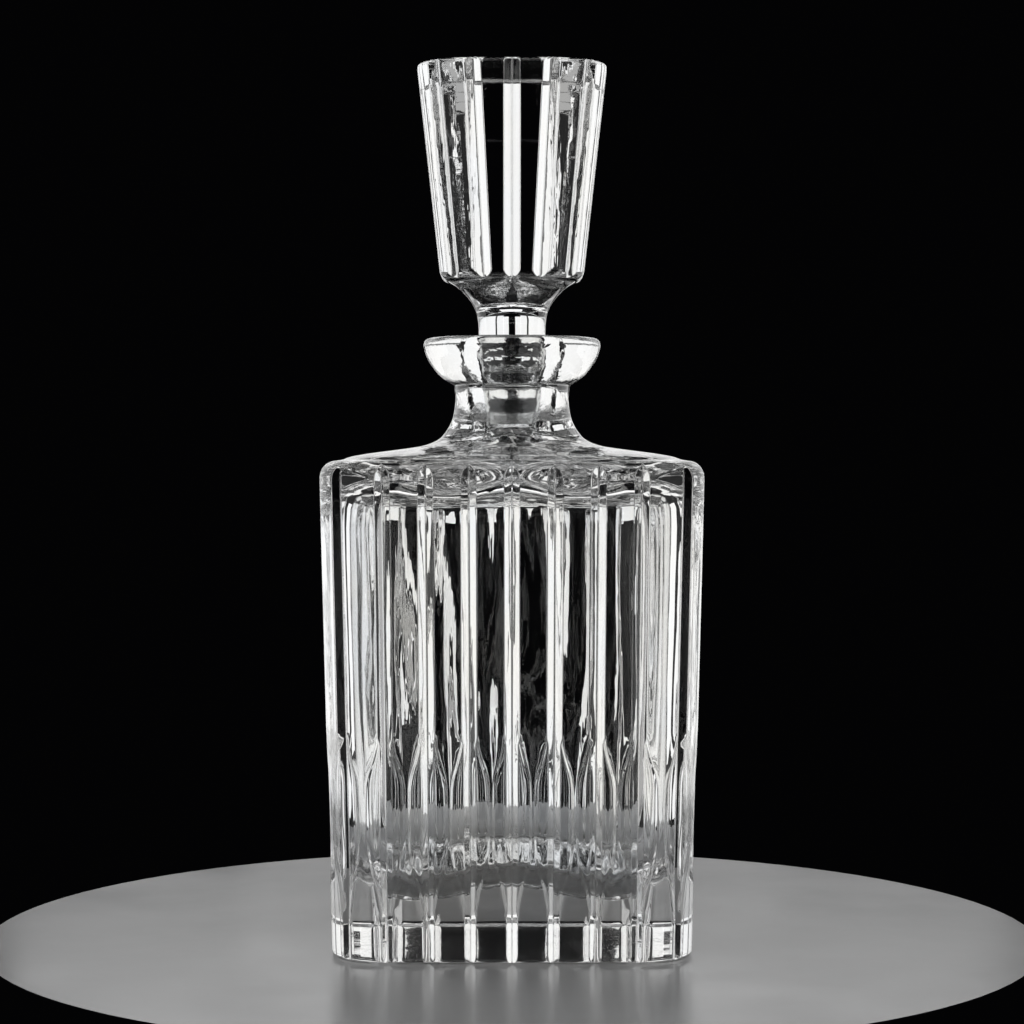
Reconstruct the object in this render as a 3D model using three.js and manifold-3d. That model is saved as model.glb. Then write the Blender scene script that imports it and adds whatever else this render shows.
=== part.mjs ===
import * as THREE from 'three';
import { mergeVertices } from 'three/addons/utils/BufferGeometryUtils.js';
import Module from 'manifold-3d';

// A square cut crystal decanter and its ground-in stopper.
// Millimetres, +Z up. The origin is the middle of the base, on the surface it stands on.

// ---- Driving dimensions ----

const TOTAL_HEIGHT = 265;

// Body: a rounded square in plan, tapering to the base.
// "flat" is half the straight side, "corner" the corner radius.
const BODY_TOP = { z: 139.4, flat: 37.4, corner: 19.2 };
const SHOULDER_EDGE = 144.8;
const BODY_BASE = { z: 1.6, flat: 35.8, corner: 17.2 };
const BODY_GROOVES_PER_SIDE = 6;
const BODY_GROOVES_PER_CORNER = 2;
// Each groove tapers down from "high" to "low", where it is cut only "depthLow" deep.
const BODY_GROOVE = { widthPerDepth: 2, depth: 2.2, depthLow: 1.5, low: 8, high: 30 };

// Neck and its collar
const NECK_RADIUS = 17.4;
const COLLAR_RADIUS = 27.2;
const COLLAR_BOTTOM = 168.2;
const LIP_HEIGHT = 182.5;

// Stopper: a flared block, again a rounded square, on a tapered plug.
const BLOCK_TOP = { z: 263.4, flat: 11.7, corner: 17.1 };
const BLOCK_BASE = { z: 202.4, flat: 8.6, corner: 13.5 };
const BLOCK_GROOVES_PER_SIDE = 2;
const BLOCK_GROOVES_PER_CORNER = 2;
const BLOCK_GROOVE = { widthPerDepth: 2.1, depth: 2.3 };

// Ground plug and the bore it seats in, which share one taper.
const PLUG_BOTTOM = 152;
const PLUG_TIP_RADIUS = 7.8;
const PLUG_LIP_RADIUS = 10.2;
const SEAT_GAP = 0.3;

// Cavity
const FLOOR_MIDDLE = 25;
const FLOOR_RIM = 20;
const FLOOR_SAG = 4.6;
const CEILING = 139.4;

// Marks between one groove and the next, as shares of the groove spacing. "edges" counts half
// groove widths to add, so a groove keeps its width where the spacing narrows.
const FLAT_PANEL_MARKS = [
  { share: 0, edges: 0 },
  { share: 0, edges: 1 },
  { share: 1, edges: -1 },
];
const ARC_PANEL_MARKS = [
  { share: 0, edges: 0 },
  { share: 0, edges: 1 },
  { share: 0.35, edges: 0 },
  { share: 0.5, edges: 0 },
  { share: 0.65, edges: 0 },
  { share: 1, edges: -1 },
];
// Plain rings above and below the grooves are marked as if their grooves were this wide.
const PLAIN_RING_GROOVE = 2;
const COLLAR_SEGMENTS = 64;
const CAVITY_SEGMENTS = 64;

const wasm = await Module();
wasm.setup();

// ---- Plan outlines ----

// Stations round a grooved plan outline, anticlockwise from one end of the first straight side.
function grooveStations(perSide, perCorner) {
  const spans = [
    { kind: 'flat', count: perSide, marks: FLAT_PANEL_MARKS },
    { kind: 'arc', count: perCorner, marks: ARC_PANEL_MARKS },
  ];
  const stations = [];
  for (let side = 0; side < 4; side++) {
    for (const { kind, count, marks } of spans) {
      for (let panel = 0; panel < count; panel++) {
        marks.forEach((mark) => stations.push({ side, kind, count, panel, mark }));
      }
    }
  }
  return stations;
}

// The point on a rounded square at a station, with the outward normal there.
function outlinePoint(station, flat, corner, grooveWidth) {
  const { side, kind, count, panel, mark } = station;
  const length = kind === 'flat' ? 2 * flat : (corner * Math.PI) / 2;
  const at = (panel + mark.share) / count + (mark.edges * grooveWidth) / 2 / length;
  const point = new THREE.Vector2(flat + corner, flat * (2 * at - 1));
  const normal = new THREE.Vector2(1, 0);
  if (kind === 'arc') {
    const angle = (at * Math.PI) / 2;
    normal.set(Math.cos(angle), Math.sin(angle));
    point.set(flat, flat).addScaledVector(normal, corner);
  }
  const middle = new THREE.Vector2();
  const turn = (side * Math.PI) / 2;
  return { point: point.rotateAround(middle, turn), normal: normal.rotateAround(middle, turn) };
}

// How far a rounded square reaches from its middle in the direction of an angle.
function reach(angle, flat, corner) {
  const quarter = Math.PI / 2;
  const local = angle - Math.round(angle / quarter) * quarter;
  const across = Math.abs(Math.sin(local));
  const along = Math.cos(local);
  const side = flat + corner;
  if ((side * across) / along <= flat) {
    return side / along;
  }
  return flat * (along + across) + Math.sqrt(corner ** 2 - flat ** 2 * (along - across) ** 2);
}

function towards(angle, distance) {
  return new THREE.Vector2(Math.cos(angle), Math.sin(angle)).multiplyScalar(distance);
}

const mix = (a, b, t) => a + (b - a) * t;

function grooveDepth(groove, z) {
  if (groove.depthLow === undefined) {
    return groove.depth;
  }
  const share = THREE.MathUtils.smoothstep(z, groove.low, groove.high);
  return mix(groove.depthLow, groove.depth, share);
}

// ---- Solids ----

// How far a ring with "sag" drops towards the corners of the plan.
function cornerSag(ring, spot) {
  return ring.sag ? ring.sag * Math.sin(2 * spot.angle()) ** 2 : 0;
}

// A closed solid from a lathe whose rings are moved to the points that place() gives.
function latheSolid(rings, segments, place) {
  const profile = rings.map((ring, index) => new THREE.Vector2(ring.pole ? 0 : 1, index));
  const geometry = new THREE.LatheGeometry(profile, segments);
  geometry.deleteAttribute('normal');
  geometry.deleteAttribute('uv');
  const position = geometry.attributes.position;
  for (let segment = 0; segment <= segments; segment++) {
    rings.forEach((ring, index) => {
      const vertex = segment * rings.length + index;
      const spot = ring.pole ? new THREE.Vector2(0, 0) : place(ring, segment % segments);
      position.setXYZ(vertex, spot.x, spot.y, ring.z - cornerSag(ring, spot));
    });
  }
  return toManifold(geometry);
}

function toManifold(geometry) {
  const merged = mergeVertices(geometry, 1e-5);
  const index = merged.index.array;
  const triangles = [];
  for (let i = 0; i < index.length; i += 3) {
    const [a, b, c] = [index[i], index[i + 1], index[i + 2]];
    if (a !== b && b !== c && c !== a) {
      triangles.push(a, b, c);
    }
  }
  const mesh = new wasm.Mesh({
    numProp: 3,
    vertProperties: Float32Array.from(merged.attributes.position.array),
    triVerts: Uint32Array.from(triangles),
  });
  return new wasm.Manifold(mesh);
}

function toGeometry(solid) {
  const mesh = solid.getMesh();
  const geometry = new THREE.BufferGeometry();
  geometry.setAttribute('position', new THREE.BufferAttribute(mesh.vertProperties, 3));
  geometry.setIndex(new THREE.BufferAttribute(mesh.triVerts, 1));
  geometry.computeVertexNormals();
  return geometry;
}

// Round rings only
function turnedSolid(rings, segments) {
  return latheSolid(rings, segments, (ring, segment) => {
    return towards((segment / segments) * 2 * Math.PI, ring.radius);
  });
}

// A rounded-square solid with mitre-cut grooves, V-shaped in section. A ring with "inset" follows
// the tapering wall, set in by that much where the groove isn't deeper. A ring with "flat" and
// "corner" is a plain outline of its own.
function groovedSolid(rings, top, base, perSide, perCorner, groove) {
  const stations = grooveStations(perSide, perCorner);
  return latheSolid(rings, stations.length, (ring, segment) => {
    const station = stations[segment];
    if (ring.inset === undefined) {
      const { point } = outlinePoint(station, top.flat, top.corner, PLAIN_RING_GROOVE);
      return towards(point.angle(), reach(point.angle(), ring.flat, ring.corner));
    }
    const rise = (ring.z - base.z) / (top.z - base.z);
    const flat = mix(base.flat, top.flat, rise);
    const corner = mix(base.corner, top.corner, rise);
    const depth = grooveDepth(groove, ring.z);
    const widthHere = groove.widthPerDepth * Math.max(0, depth - ring.inset);
    const { point, normal } = outlinePoint(station, flat, corner, widthHere);
    const cut = station.mark.share % 1 === 0 && station.mark.edges === 0 ? depth : 0;
    return point.addScaledVector(normal, -Math.max(ring.inset, cut));
  });
}

const round = (z, radius) => ({ z, flat: 0, corner: radius });

// ---- Bottle ----

function bottleBlank() {
  const rings = [
    { z: 0, pole: true },
    { z: 0, inset: 1.2 },
    { z: 0.4, inset: 0.4 },
    { z: BODY_BASE.z, inset: 0 },
    { z: BODY_GROOVE.low, inset: 0 },
    { z: 16, inset: 0 },
    { z: 22, inset: 0 },
    { z: BODY_GROOVE.high, inset: 0 },
    { z: BODY_TOP.z, inset: 0 },
    { z: 141.4, inset: 0.4 },
    { z: 143, inset: 1.3 },
    { z: 144.1, inset: 2.6 },
    { z: SHOULDER_EDGE, inset: 5.2 },
    { z: 146, flat: 27.4, corner: 20.2 },
    { z: 147, flat: 21, corner: 21 },
    { z: 148.1, flat: 11, corner: 23 },
    { z: 149.1, flat: 4.5, corner: 23.3 },
    round(150.5, 23.9),
    round(152, 21.6),
    round(154.4, 19.8),
    round(157.8, 18.2),
    round(163, NECK_RADIUS),
    round(COLLAR_BOTTOM + 0.8, NECK_RADIUS + 0.3),
    { z: COLLAR_BOTTOM + 0.8, pole: true },
  ];
  return groovedSolid(
    rings,
    BODY_TOP,
    BODY_BASE,
    BODY_GROOVES_PER_SIDE,
    BODY_GROOVES_PER_CORNER,
    BODY_GROOVE,
  );
}

function collarBlank() {
  return turnedSolid(
    [
      { z: COLLAR_BOTTOM, pole: true },
      { z: COLLAR_BOTTOM, radius: 18.4 },
      { z: 169.8, radius: 20.9 },
      { z: 171.9, radius: 23.2 },
      { z: 175.6, radius: 25.7 },
      { z: 178.6, radius: 26.9 },
      { z: 180.2, radius: COLLAR_RADIUS },
      { z: 181.5, radius: 26.5 },
      { z: 182.2, radius: 25 },
      { z: LIP_HEIGHT, radius: 22 },
      { z: LIP_HEIGHT, pole: true },
    ],
    COLLAR_SEGMENTS,
  );
}

// Inside of the body, with a domed floor and a rounded ceiling.
function cavity() {
  const rings = [
    { z: FLOOR_MIDDLE, pole: true },
    { z: 23.4, flat: 5, corner: 12 },
    { z: 21.6, flat: 13, corner: 14, sag: FLOOR_SAG * 0.55 },
    { z: FLOOR_RIM, flat: 20.6, corner: 12, sag: FLOOR_SAG * 0.9 },
    { z: 22.2, flat: 25.8, corner: 11.6, sag: FLOOR_SAG },
    { z: 25.2, flat: 28.4, corner: 12, sag: FLOOR_SAG * 0.95 },
    { z: 29.4, flat: 30.8, corner: 12.4, sag: FLOOR_SAG * 0.8 },
    { z: 35, flat: 32.4, corner: 12.7, sag: FLOOR_SAG * 0.5 },
    { z: 44, flat: 33.2, corner: 12.8 },
    { z: 131, flat: 34.6, corner: 13.1 },
    { z: 136.2, flat: 33, corner: 12.4 },
    { z: 138.6, flat: 27, corner: 12.4 },
    { z: CEILING, flat: 14, corner: 13.4 },
    { z: 140.4, flat: 4, corner: 14 },
    { z: 142.5, flat: 0, corner: 12.6 },
    { z: 146, flat: 0, corner: 9.6 },
    { z: 149.5, flat: 0, corner: boreRadius(149.5) },
    { z: 149.5, pole: true },
  ];
  return latheSolid(rings, CAVITY_SEGMENTS, (ring, segment) => {
    const angle = (segment / CAVITY_SEGMENTS) * 2 * Math.PI;
    return towards(angle, reach(angle, ring.flat, ring.corner));
  });
}

function plugRadius(z) {
  const rise = (z - PLUG_BOTTOM) / (LIP_HEIGHT - PLUG_BOTTOM);
  return mix(PLUG_TIP_RADIUS, PLUG_LIP_RADIUS, rise);
}

function boreRadius(z) {
  return plugRadius(z) + SEAT_GAP;
}

// Tapered ground bore, with a small chamfer at the lip.
function bore() {
  const chamferFoot = LIP_HEIGHT - 0.6;
  return turnedSolid(
    [
      { z: 148, pole: true },
      { z: 148, radius: boreRadius(148) },
      { z: chamferFoot, radius: boreRadius(chamferFoot) },
      { z: LIP_HEIGHT + 1, radius: boreRadius(LIP_HEIGHT) + 1 },
      { z: LIP_HEIGHT + 1, pole: true },
    ],
    COLLAR_SEGMENTS,
  );
}

function bottle() {
  const solid = bottleBlank().add(collarBlank()).subtract(cavity()).subtract(bore());
  const glass = new THREE.MeshStandardMaterial({ color: 0xeef3f5, roughness: 0.02, metalness: 0 });
  const mesh = new THREE.Mesh(toGeometry(solid), glass);
  mesh.name = 'bottle';
  return mesh;
}

// ---- Stopper ----

function stopper() {
  const rings = [
    { z: PLUG_BOTTOM, pole: true },
    round(PLUG_BOTTOM, PLUG_TIP_RADIUS - 0.6),
    round(PLUG_BOTTOM + 0.6, PLUG_TIP_RADIUS),
    round(LIP_HEIGHT, PLUG_LIP_RADIUS),
    round(186.6, 10.3),
    round(190.3, 10.9),
    round(194, 12.9),
    round(197.7, 16.4),
    { z: 199.4, flat: 2.6, corner: 15.9 },
    { z: 200.6, inset: 1.6 },
    { z: 201.5, inset: 0.6 },
    { z: BLOCK_BASE.z, inset: 0 },
    { z: BLOCK_TOP.z, inset: 0 },
    { z: TOTAL_HEIGHT - 0.5, inset: 0.5 },
    { z: TOTAL_HEIGHT, inset: 1.7 },
    { z: TOTAL_HEIGHT, pole: true },
  ];
  const solid = groovedSolid(
    rings,
    BLOCK_TOP,
    BLOCK_BASE,
    BLOCK_GROOVES_PER_SIDE,
    BLOCK_GROOVES_PER_CORNER,
    BLOCK_GROOVE,
  );
  const glass = new THREE.MeshStandardMaterial({ color: 0xf2f6f7, roughness: 0.03, metalness: 0 });
  const mesh = new THREE.Mesh(toGeometry(solid), glass);
  mesh.name = 'stopper';
  return mesh;
}

const group = new THREE.Group();
group.add(bottle(), stopper());

export default group;
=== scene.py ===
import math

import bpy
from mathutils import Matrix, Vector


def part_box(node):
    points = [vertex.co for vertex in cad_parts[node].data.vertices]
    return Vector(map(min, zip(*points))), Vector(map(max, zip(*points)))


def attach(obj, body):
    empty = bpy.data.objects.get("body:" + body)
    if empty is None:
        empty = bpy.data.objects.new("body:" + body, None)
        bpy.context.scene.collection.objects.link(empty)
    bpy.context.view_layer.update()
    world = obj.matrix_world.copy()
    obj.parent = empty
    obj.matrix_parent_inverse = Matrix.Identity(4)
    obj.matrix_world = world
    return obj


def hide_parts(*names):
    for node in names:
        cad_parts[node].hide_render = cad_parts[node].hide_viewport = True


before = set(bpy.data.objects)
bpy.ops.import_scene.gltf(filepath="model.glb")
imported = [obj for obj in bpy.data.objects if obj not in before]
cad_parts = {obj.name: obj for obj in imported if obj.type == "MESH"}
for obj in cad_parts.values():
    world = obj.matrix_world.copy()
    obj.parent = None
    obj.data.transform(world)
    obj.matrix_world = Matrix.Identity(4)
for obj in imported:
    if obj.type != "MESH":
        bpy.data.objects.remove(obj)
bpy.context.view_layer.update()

# A square cut crystal decanter and its stopper. Shapes are drawn in millimetres and become
# metres when a mesh is made. Plan outlines are rounded squares: "flat" is half the straight
# side and "corner" the corner radius.

bottle_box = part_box("bottle")
stopper_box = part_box("stopper")

MM = 0.001

# ---- Driving dimensions, in millimetres ----

LIP = bottle_box[1][2] / MM
TOP = stopper_box[1][2] / MM
PLUG_BOTTOM = stopper_box[0][2] / MM

BODY_TOP = {"z": 139.4, "flat": 37.4, "corner": 19.2}
BODY_BASE = {"z": 1.6, "flat": 35.8, "corner": 17.2}
BODY_GROOVE = {"slope": 1, "depth": 2.2, "depth_low": 1.5, "low": 8, "high": 30}
BODY_PANELS = {"side": 6, "corner": 2}
SHOULDER_EDGE = {"z": 144.8, "inset": 5.2}

# Low on the body a shallow, flat-bottomed, leaf-shaped cut widens each groove: its half width
# at each height.
LEAF_DEPTH = 0.5
LEAF_SLOPE = 0.8
LEAF_CUT = [
    (12, 1.2),
    (17, 2.0),
    (21.6, 2.9),
    (25.4, 4.2),
    (30, 5.2),
    (34, 5.65),
    (42, 5.7),
    (49, 5.6),
    (51.5, 5.45),
    (54.4, 4.9),
    (59, 3.5),
    (65, 2.1),
    (69, 1.2),
]

BLOCK_TOP = {"z": TOP - 1.6, "flat": 11.7, "corner": 17.1}
BLOCK_BASE = {"z": 202.4, "flat": 8.6, "corner": 13.5}
BLOCK_GROOVE = {"slope": 0.95, "depth": 2.3}
BLOCK_PANELS = {"side": 2, "corner": 2}

# The polished edges of a mitre cut are slightly soft.
CUT_SOFTNESS = 0.1
NARROWEST_CUT = 0.3
NARROWEST_BAND = 0.25

PLUG_TIP_RADIUS = 7.8
PLUG_LIP_RADIUS = 10.2
SEAT_GAP = 0.3

CAVITY_MIDDLE = 25
FLOOR_SAG = 4.6
CEILING_WAVE = 1.5

# ---- Stage, in metres ----

CAMERA_PLACE = (0, -0.806, 0.1477)
CAMERA_LENS = 91.95
CAMERA_SHIFT = -0.0598

FLOOR_RADIUS = 0.16
FLOOR_SEGMENTS = 96
# The foot stands this far above the floor, in millimetres, so its own underside reflects.
FLOOR_CLEARANCE = 0.2

# Softboxes on one side: place on the side where x is positive, width, height and radiance.
SIDE_SOFTBOXES = {
    "main": ((0.7065, 0.5634, 0.2), 1.03, 0.9, 1.05),
    "strip": ((0.265, 1, 0.42), 0.16, 0.46, 1),
    "neck": ((0.1275, 1, 0.355), 0.115, 0.38, 1),
    "front": ((0.7065, -0.5634, 0.2), 1.03, 0.9, 0.4),
}


def mix(a, b, t):
    return a + (b - a) * t


def soft_max(a, b, softness):
    return (a + b + math.sqrt((a - b) ** 2 + softness ** 2)) / 2


def smooth_step(low, high, value):
    """Goes from 0 at low to 1 at high, where high may be the smaller one."""
    t = min(1, max(0, (value - low) / (high - low)))
    return t * t * (3 - 2 * t)


def curve_through(points, steps):
    """Points on a Catmull-Rom curve through the given tuples."""
    ends = [points[0]] + list(points) + [points[-1]]
    curve = []
    for a, b, c, d in zip(ends, ends[1:], ends[2:], ends[3:]):
        for step in range(steps):
            t = step / steps
            curve.append(tuple(
                0.5 * (2 * q + (r - p) * t + (2 * p - 5 * q + 4 * r - s) * t ** 2
                       + (3 * q - p - 3 * r + s) * t ** 3)
                for p, q, r, s in zip(a, b, c, d)
            ))
    curve.append(tuple(points[-1]))
    return curve


# ---- Plan outlines ----

# From the middle of a groove to the middle of a panel there are four bands: the groove, the
# floor of the leaf cut, the slope up its edge and the panel. Marks are shares of each band.
BAND_MARKS = (
    [(0, mark) for mark in (0, 0.15, 0.9)]
    + [(1, mark) for mark in (0.08, 0.5, 0.93)]
    + [(2, mark) for mark in (0.2, 0.8)]
    + [(3, mark) for mark in (0.1, 0.5, 1)]
)


def make_stations(panels):
    """Stations round a plan outline: side, span, half panel, half panels in the span, band
    and mark."""
    stations = []
    for side in range(4):
        for span in ("side", "corner"):
            for half in range(2 * panels[span]):
                marks = BAND_MARKS[:-1] if half % 2 == 0 else BAND_MARKS[:0:-1]
                stations += [(side, span, half, 2 * panels[span], band, mark)
                             for band, mark in marks]
    return stations


def outline_point(station, flat, corner, groove, leaf):
    """The point at a station, the outward normal there, and the distance from the middle of
    the nearest groove. The groove and the leaf cut are half widths."""
    side, span, half, count, band, mark = station
    length = 2 * flat if span == "side" else corner * math.pi / 2
    half_panel = length / count
    leaf_edge = min(max(leaf, groove + 2 * NARROWEST_BAND), half_panel - NARROWEST_BAND)
    leaf_foot = max(leaf_edge - LEAF_DEPTH / LEAF_SLOPE, groove + NARROWEST_BAND)
    edges = (0, groove, leaf_foot, leaf_edge, half_panel)
    offset = mix(edges[band], edges[band + 1], mark)
    along = (half + offset / half_panel) / count
    if half % 2 == 1:
        along = (half + 1 - offset / half_panel) / count
    if span == "side":
        point = Vector((flat + corner, flat * (2 * along - 1)))
        normal = Vector((1, 0))
    else:
        angle = along * math.pi / 2
        normal = Vector((math.cos(angle), math.sin(angle)))
        point = Vector((flat, flat)) + normal * corner
    turn = side * math.pi / 2
    cosine, sine = math.cos(turn), math.sin(turn)
    rotated = [Vector((v.x * cosine - v.y * sine, v.x * sine + v.y * cosine))
               for v in (point, normal)]
    return rotated[0], rotated[1], offset


def reach(angle, flat, corner):
    """How far a rounded square reaches from its middle in the direction of an angle."""
    quarter = math.pi / 2
    local = angle - round(angle / quarter) * quarter
    along, across = math.cos(local), abs(math.sin(local))
    side = flat + corner
    if side * across / along <= flat:
        return side / along
    return flat * (along + across) + math.sqrt(corner ** 2 - (flat * (along - across)) ** 2)


class Blank:
    """A tapering rounded-square blank with mitre-cut grooves, which makes rings of points."""

    def __init__(self, top, base, panels, groove):
        self.top = top
        self.base = base
        self.groove = groove
        self.stations = make_stations(panels)
        self.angles = []
        for station in self.stations:
            point, _, _ = outline_point(
                station, top["flat"], top["corner"], NARROWEST_CUT, 0)
            angle = math.atan2(point.y, point.x)
            if self.angles and angle < self.angles[0]:
                angle += 2 * math.pi
            self.angles.append(angle)

    def groove_depth(self, z):
        if "depth_low" not in self.groove:
            return self.groove["depth"]
        share = smooth_step(self.groove["low"], self.groove["high"], z)
        return mix(self.groove["depth_low"], self.groove["depth"], share)

    def wall_ring(self, z, inset=0, leaf=0):
        rise = (z - self.base["z"]) / (self.top["z"] - self.base["z"])
        flat = mix(self.base["flat"], self.top["flat"], rise)
        corner = mix(self.base["corner"], self.top["corner"], rise)
        depth = self.groove_depth(z)
        slope = self.groove["slope"]
        half_groove = depth / slope
        floor = max(inset, min(LEAF_DEPTH, LEAF_SLOPE * leaf) if leaf > half_groove else 0)
        groove_here = max(NARROWEST_CUT, half_groove * (1 - floor / depth))
        ring = []
        for station in self.stations:
            point, normal, offset = outline_point(station, flat, corner, groove_here, leaf)
            rounded_offset = math.hypot(offset, CUT_SOFTNESS)
            cut = soft_max(inset, depth - slope * rounded_offset, CUT_SOFTNESS)
            if leaf:
                cut = max(cut, min(LEAF_DEPTH, LEAF_SLOPE * (leaf - offset)))
            point -= normal * cut
            ring.append((point.x, point.y, z))
        return ring

    def plan_ring(self, z, flat, corner, evenness=1.0, ripple=None, lift=None):
        """A plain ring. Its points follow the stations' angles, or even angles as evenness
        goes from 0 to 1. Ripple and lift move them outward and up by angle."""
        ring = []
        count = len(self.stations)
        for index, own in enumerate(self.angles):
            even = self.angles[0] + 2 * math.pi * index / count
            angle = mix(own, even, evenness)
            distance = reach(angle, flat, corner)
            if ripple:
                distance += ripple(angle, z)
            height = z + lift(angle) if lift else z
            ring.append((distance * math.cos(angle), distance * math.sin(angle), height))
        return ring


def skin(name, rings, low_pole, high_pole):
    """A closed mesh over a row of rings, each end closed on a pole."""
    count = len(rings[0])
    vertices = [low_pole] + [point for ring in rings for point in ring] + [high_pole]
    faces = []
    last = len(vertices) - 1
    for i in range(count):
        j = (i + 1) % count
        faces.append((0, 1 + j, 1 + i))
        for level in range(len(rings) - 1):
            low = 1 + level * count
            high = low + count
            faces.append((low + i, low + j, high + j, high + i))
        top = 1 + (len(rings) - 1) * count
        faces.append((top + i, top + j, last))
    mesh = bpy.data.meshes.new(name)
    mesh.from_pydata([tuple(c * MM for c in vertex) for vertex in vertices], [], faces)
    mesh.validate()
    mesh.update()
    mesh.shade_smooth()
    piece = bpy.data.objects.new(name, mesh)
    bpy.context.scene.collection.objects.link(piece)
    return piece


def edge_round(z_wall, z_end, depth, steps):
    """Insets that round a wall over into an end face, quarter-ellipse in section."""
    rings = []
    for step in range(steps + 1):
        angle = math.pi / 2 * step / steps
        rings.append((mix(z_wall, z_end, math.sin(angle)), depth * (1 - math.cos(angle))))
    return rings


# ---- Bottle ----

def plug_radius(z):
    return mix(PLUG_TIP_RADIUS, PLUG_LIP_RADIUS, (z - PLUG_BOTTOM) / (LIP - PLUG_BOTTOM))


def bore_radius(z):
    return plug_radius(z) + SEAT_GAP


def bottle_outside(blank):
    rings = []
    base_flat = BODY_BASE["flat"]
    for inward in (2, 8, 14):
        rings.append(blank.plan_ring(0, base_flat - 14 + inward, BODY_BASE["corner"] - 3, 0))
    for z, inset in reversed(edge_round(BODY_BASE["z"], 0, 1.2, 6)):
        rings.append(blank.wall_ring(z, inset))
    rings.append(blank.wall_ring(2.4))
    for z, leaf in curve_through(LEAF_CUT, 3):
        rings.append(blank.wall_ring(z, leaf=leaf))
    rings.append(blank.wall_ring(137))
    for z, inset in edge_round(BODY_TOP["z"], SHOULDER_EDGE["z"], SHOULDER_EDGE["inset"], 10):
        rings.append(blank.wall_ring(z, inset))
    shoulder = curve_through([
        (145.1, 30.6, 19.4),
        (146.0, 27.4, 20.2),
        (147.0, 21, 21),
        (148.1, 11, 23),
        (149.1, 4.5, 23.3),
        (150.4, 1, 23),
        (152, 0, 21.6),
        (154.4, 0, 19.8),
        (157.8, 0, 18.2),
        (163, 0, 17.4),
        (167.6, 0, 17.7),
    ], 3)
    for z, flat, corner in shoulder:
        rings.append(blank.plan_ring(z, max(0, flat), corner, smooth_step(145.1, 150.4, z)))
    collar = curve_through([
        (168.0, 18.0),
        (168.6, 19.2),
        (169.9, 21.2),
        (171.9, 23.3),
        (175.6, 25.8),
        (178.6, 26.9),
        (180.3, 27.2),
        (181.7, 26.6),
        (182.35, 25),
        (LIP, 22.4),
        (LIP, 16),
        (LIP, 12),
    ], 3)
    for z, radius in collar:
        rings.append(blank.plan_ring(z, 0, radius))
    return rings


def cavity_ripple(angle, z):
    """The unevenness of a moulded inner wall: upright waves that wander a little."""
    wander = 0.9 * math.sin(0.035 * z + 2 * angle) + 0.4 * math.sin(0.09 * z + 5 * angle)
    broad = math.sin(9 * angle + 0.6 * wander)
    waves = math.sin(23 * angle + wander) + 0.6 * math.sin(37 * angle - 1.4 * wander + 1.1)
    share = 0.65 + 0.35 * math.sin(4 * angle + 0.05 * z)
    return 0.12 * broad + 0.2 * share * waves


def cavity_lift(angle, z, half_width):
    """The floor sags towards its corners and the ceiling waves up and down."""
    rim = smooth_step(0, 24, half_width)
    sag = FLOOR_SAG * rim * smooth_step(50, 22, z) * math.sin(2 * angle) ** 2
    wave = CEILING_WAVE * rim * smooth_step(132, 139, z) * math.cos(8 * angle)
    return wave - sag


def bottle_inside(blank):
    rings = []
    lip_round = [(LIP, 11.4), (LIP - 0.1, 11.0), (LIP - 0.4, bore_radius(LIP) + 0.1)]
    for z, radius in lip_round:
        rings.append(blank.plan_ring(z, 0, radius))
    for step in range(1, 9):
        z = mix(LIP - 0.6, 151, step / 8)
        rings.append(blank.plan_ring(z, 0, bore_radius(z)))
    inside = curve_through([
        (150.4, 0, bore_radius(150.4)),
        (148.6, 0, 8.3),
        (146, 0, 9.6),
        (142.8, 0, 12.4),
        (140.4, 4, 14),
        (139.4, 14, 13.4),
        (138.6, 27, 12.4),
        (136.2, 33, 12.4),
        (131, 34.6, 13.1),
        (110, 34.4, 13.2),
        (84, 34, 13),
        (62, 33.6, 12.9),
        (44, 33.2, 12.8),
        (35, 32.4, 12.7),
        (29.4, 30.8, 12.4),
        (25.2, 28.4, 12),
        (22.2, 25.8, 11.6),
        (20.6, 22.8, 11.4),
        (20.3, 19.4, 12),
        (21.6, 13, 14),
        (23.4, 5, 12),
        (24.6, 0, 8),
        (24.9, 0, 3),
    ], 3)
    for z, flat, corner in inside:
        in_body = smooth_step(140, 130, z) * smooth_step(20, 32, z)
        rings.append(blank.plan_ring(
            z, max(0, flat), corner,
            ripple=lambda angle, height: in_body * cavity_ripple(angle, height),
            lift=lambda angle: cavity_lift(angle, z, flat)))
    return rings


def make_bottle():
    blank = Blank(BODY_TOP, BODY_BASE, BODY_PANELS, BODY_GROOVE)
    rings = bottle_outside(blank) + bottle_inside(blank)
    return skin("bottle_crystal", rings, (0, 0, 0), (0, 0, CAVITY_MIDDLE))


# ---- Stopper ----

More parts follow.
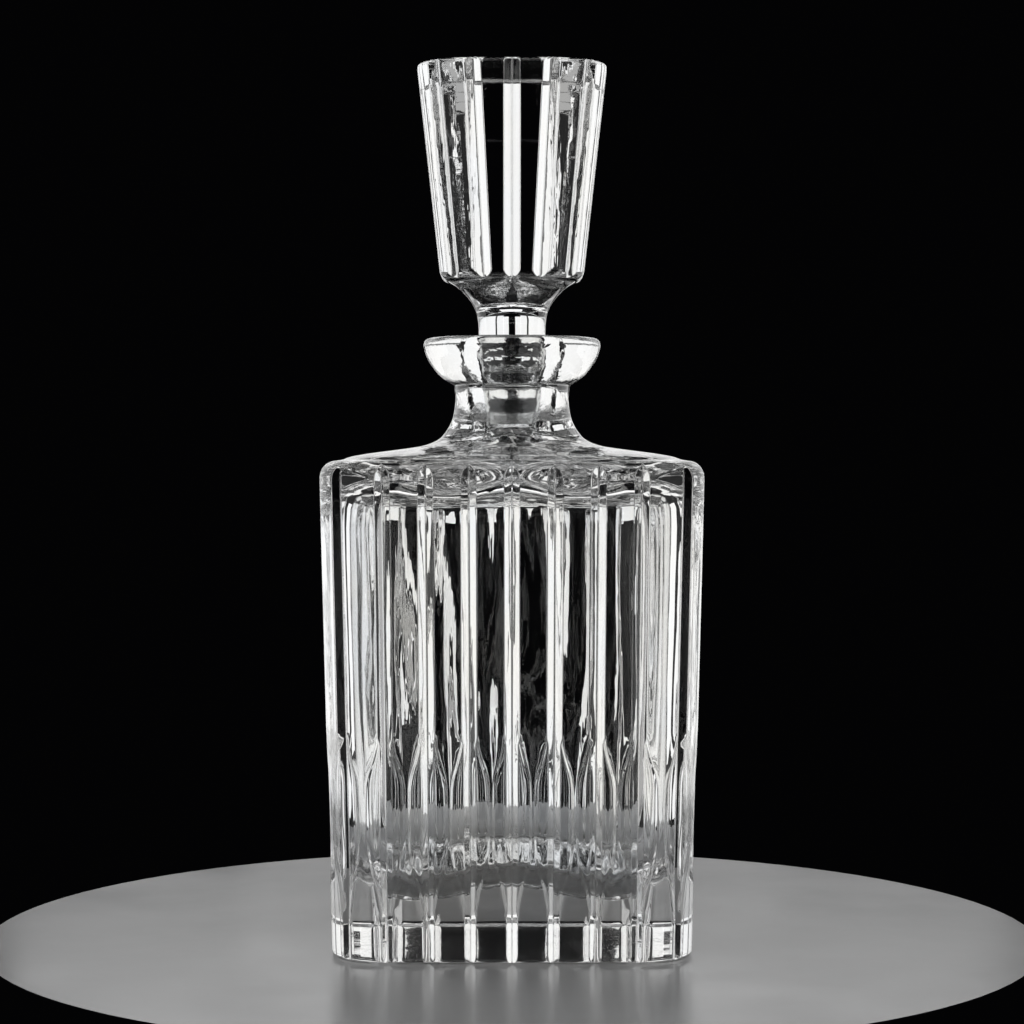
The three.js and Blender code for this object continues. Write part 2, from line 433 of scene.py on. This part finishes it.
def make_stopper():
    blank = Blank(BLOCK_TOP, BLOCK_BASE, BLOCK_PANELS, BLOCK_GROOVE)
    rings = [blank.plan_ring(PLUG_BOTTOM, 0, radius) for radius in (3, 6)]
    for z, inset in ((PLUG_BOTTOM, 0.7), (PLUG_BOTTOM + 0.15, 0.3), (PLUG_BOTTOM + 0.6, 0.02)):
        rings.append(blank.plan_ring(z, 0, plug_radius(z) - inset))
    for step in range(1, 9):
        z = mix(PLUG_BOTTOM + 1, LIP, step / 8)
        rings.append(blank.plan_ring(z, 0, plug_radius(z)))
    throat = curve_through([
        (184, 0, 10.25),
        (186.6, 0, 10.35),
        (190.3, 0, 10.95),
        (194, 0, 12.9),
        (196.4, 0, 15),
        (198.2, 1, 16),
        (199.4, 2.8, 16.1),
    ], 4)
    for z, flat, corner in throat:
        rings.append(blank.plan_ring(z, max(0, flat), corner, smooth_step(199.4, 190, z)))
    for z, inset in reversed(edge_round(BLOCK_BASE["z"], 199.8, 2.6, 9)):
        rings.append(blank.wall_ring(z, inset))
    rings.append(blank.wall_ring(203, 0))
    rings.append(blank.wall_ring(BLOCK_TOP["z"] - 0.6, 0))
    for z, inset in edge_round(BLOCK_TOP["z"], TOP, 1.7, 8):
        rings.append(blank.wall_ring(z, inset))
    for flat in (7, 3):
        rings.append(blank.plan_ring(TOP, flat, 15, 0))
    return skin("stopper_crystal", rings, (0, 0, PLUG_BOTTOM), (0, 0, TOP))


# ---- Materials ----

class NodeSketch:
    """Short names for adding and joining shader nodes."""

    def __init__(self, name):
        self.material = bpy.data.materials.new(name)
        self.material.use_nodes = True
        self.nodes = self.material.node_tree.nodes
        self.links = self.material.node_tree.links
        self.shader = self.nodes["Principled BSDF"]

    def join(self, value, socket):
        if isinstance(value, bpy.types.NodeSocket):
            self.links.new(value, socket)
        else:
            socket.default_value = value

    def math(self, operation, first, second):
        node = self.nodes.new("ShaderNodeMath")
        node.operation = operation
        self.join(first, node.inputs[0])
        self.join(second, node.inputs[1])
        return node.outputs[0]

    def fade(self, value, low, high, at_low, at_high):
        node = self.nodes.new("ShaderNodeMapRange")
        node.interpolation_type = "SMOOTHSTEP"
        self.join(value, node.inputs["Value"])
        for name, number in (("From Min", low), ("From Max", high),
                             ("To Min", at_low), ("To Max", at_high)):
            node.inputs[name].default_value = number
        return node.outputs["Result"]

    def scaled(self, vector, scale):
        node = self.nodes.new("ShaderNodeVectorMath")
        node.operation = "MULTIPLY"
        self.join(vector, node.inputs[0])
        node.inputs[1].default_value = scale
        return node.outputs["Vector"]

    def length(self, vector):
        node = self.nodes.new("ShaderNodeVectorMath")
        node.operation = "LENGTH"
        self.join(vector, node.inputs[0])
        return node.outputs["Value"]

    def squareness(self, split):
        """The fourth-power length of the plan position, which follows a rounded square."""
        squares = [self.math("MULTIPLY", split.outputs[axis], split.outputs[axis])
                   for axis in ("X", "Y")]
        fourths = [self.math("MULTIPLY", square, square) for square in squares]
        return self.math("POWER", self.math("ADD", *fourths), 0.25)

    def noise(self, vector, scale, detail=2, distortion=0):
        node = self.nodes.new("ShaderNodeTexNoise")
        self.join(vector, node.inputs["Vector"])
        node.inputs["Scale"].default_value = scale
        node.inputs["Detail"].default_value = detail
        node.inputs["Distortion"].default_value = distortion
        return node.outputs["Fac"]

    def bump(self, height, distance, below=None):
        node = self.nodes.new("ShaderNodeBump")
        self.join(height, node.inputs["Height"])
        node.inputs["Strength"].default_value = 1
        node.inputs["Distance"].default_value = distance
        if below:
            self.join(below, node.inputs["Normal"])
        return node.outputs["Normal"]

    def blend(self, share, first, second):
        node = self.nodes.new("ShaderNodeMix")
        node.data_type = "RGBA"
        self.join(share, node.inputs["Factor"])
        colours = [socket for socket in node.inputs if socket.type == "RGBA"]
        colours[0].default_value = first
        colours[1].default_value = second
        return next(socket for socket in node.outputs if socket.type == "RGBA")


def crystal_material():
    """Polished lead crystal: a fired skin above the cut body, wear low down, a ground seat."""
    sketch = NodeSketch("lead_crystal")
    shader = sketch.shader
    shader.inputs["IOR"].default_value = 1.545
    shader.inputs["Transmission Weight"].default_value = 1
    coordinates = sketch.nodes.new("ShaderNodeTexCoord").outputs["Object"]
    split = sketch.nodes.new("ShaderNodeSeparateXYZ")
    sketch.join(coordinates, split.inputs[0])
    height = split.outputs["Z"]
    radius = sketch.length(sketch.scaled(coordinates, (1, 1, 0)))

    tint = sketch.noise(coordinates, 30, 3)
    sketch.join(sketch.blend(sketch.fade(tint, 0.4, 0.65, 0, 1),
                             (0.99, 0.985, 0.965, 1), (0.97, 0.985, 1, 1)),
                shader.inputs["Base Color"])

    seat = sketch.math("MULTIPLY", sketch.fade(radius, 0.0110, 0.0114, 1, 0),
                       sketch.math("MULTIPLY", sketch.fade(height, 0.1515, 0.1525, 0, 1),
                                   sketch.fade(height, 0.1725, 0.1735, 1, 0)))
    grain = sketch.noise(coordinates, 1500, 4)
    ground = sketch.math("MULTIPLY", seat, sketch.fade(grain, 0.3, 0.7, 0.03, 0.12))
    scratch = sketch.noise(sketch.scaled(coordinates, (1, 0.15, 1)), 2500, 2, 1.5)
    wear = sketch.math("MULTIPLY", sketch.fade(height, 0.0002, 0.0022, 1, 0),
                       sketch.fade(scratch, 0.52, 0.66, 0.02, 0.2))
    sketch.join(sketch.math("ADD", ground, wear), shader.inputs["Roughness"])

    inner = sketch.math("MULTIPLY", sketch.fade(sketch.squareness(split), 0.0518, 0.0528, 1, 0),
                        sketch.fade(height, 0.022, 0.03, 0, 1))
    swell = sketch.noise(coordinates, 45, 2)
    drawn = sketch.noise(sketch.scaled(coordinates, (1, 1, 0.1)), 230, 3)
    fired = sketch.math("MULTIPLY", sketch.noise(coordinates, 120, 3, 0.6),
                        sketch.math("MULTIPLY", sketch.fade(height, 0.144, 0.15, 0, 1),
                                    sketch.fade(height, 0.1815, 0.1835, 1, 0)))
    waves = sketch.bump(fired, 0.0003, sketch.bump(swell, 0.00006))
    lines = sketch.bump(sketch.math("MULTIPLY", drawn, inner), 0.00006, waves)
    sketch.join(lines, shader.inputs["Normal"])
    return sketch.material


def floor_material():
    """A pale satin sheet with faint mottling and a very fine tooth."""
    sketch = NodeSketch("pale_floor")
    coordinates = sketch.nodes.new("ShaderNodeTexCoord").outputs["Object"]
    mottle = sketch.noise(coordinates, 18, 4)
    tooth = sketch.noise(coordinates, 900, 2)
    sketch.join(sketch.blend(mottle, (0.70, 0.70, 0.71, 1), (0.75, 0.75, 0.755, 1)),
                sketch.shader.inputs["Base Color"])
    sketch.join(sketch.fade(mottle, 0.3, 0.7, 0.18, 0.26), sketch.shader.inputs["Roughness"])
    sketch.join(sketch.bump(tooth, 0.00001), sketch.shader.inputs["Normal"])
    return sketch.material


# ---- Stage ----

def make_camera():
    data = bpy.data.cameras.new("camera")
    data.lens = CAMERA_LENS
    data.shift_y = CAMERA_SHIFT
    camera = bpy.data.objects.new("camera", data)
    camera.location = CAMERA_PLACE
    camera.rotation_euler = (math.pi / 2, 0, 0)
    bpy.context.scene.collection.objects.link(camera)
    bpy.context.scene.camera = camera


def make_floor():
    mesh = bpy.data.meshes.new("floor")
    angles = [2 * math.pi * i / FLOOR_SEGMENTS for i in range(FLOOR_SEGMENTS)]
    points = [(FLOOR_RADIUS * math.cos(angle), FLOOR_RADIUS * math.sin(angle), 0)
              for angle in angles]
    mesh.from_pydata(points, [], [tuple(range(FLOOR_SEGMENTS))])
    floor = bpy.data.objects.new("floor", mesh)
    floor.location.z = -FLOOR_CLEARANCE * MM
    floor.data.materials.append(floor_material())
    bpy.context.scene.collection.objects.link(floor)


def make_softbox(name, place, target, width, height, radiance):
    """An area light facing the target, which the camera doesn't see directly."""
    data = bpy.data.lights.new(name, "AREA")
    data.shape = "RECTANGLE"
    data.size = width
    data.size_y = height
    data.energy = radiance * math.pi * width * height
    light = bpy.data.objects.new(name, data)
    light.location = place
    light.rotation_euler = (Vector(target) - Vector(place)).to_track_quat("-Z", "Y").to_euler()
    light.visible_camera = False
    bpy.context.scene.collection.objects.link(light)


def make_lights():
    """Softboxes at both sides, which leave the view straight through dark, and one overhead."""
    for side in (-1, 1):
        for name, ((x, y, z), width, height, radiance) in SIDE_SOFTBOXES.items():
            make_softbox(f"{name}_{side}", (side * x, y, z), (0, 0, z), width, height, radiance)
    make_softbox("overhead", (0, -0.2, 1.1), (0, 0, 0), 0.5, 0.5, 1.3)
    world = bpy.data.worlds.new("world")
    world.use_nodes = True
    background = world.node_tree.nodes["Background"]
    background.inputs["Color"].default_value = (0.001, 0.001, 0.0012, 1)
    bpy.context.scene.world = world


def finish_piece(piece, node, material):
    piece.data.materials.append(material)
    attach(piece, node)
    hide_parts(node)


make_camera()
crystal = crystal_material()
finish_piece(make_bottle(), "bottle", crystal)
finish_piece(make_stopper(), "stopper", crystal)
make_floor()
make_lights()

cycles = bpy.context.scene.cycles
cycles.max_bounces = 32
cycles.transmission_bounces = 32
cycles.glossy_bounces = 16
bpy.context.scene.view_settings.view_transform = "Standard"
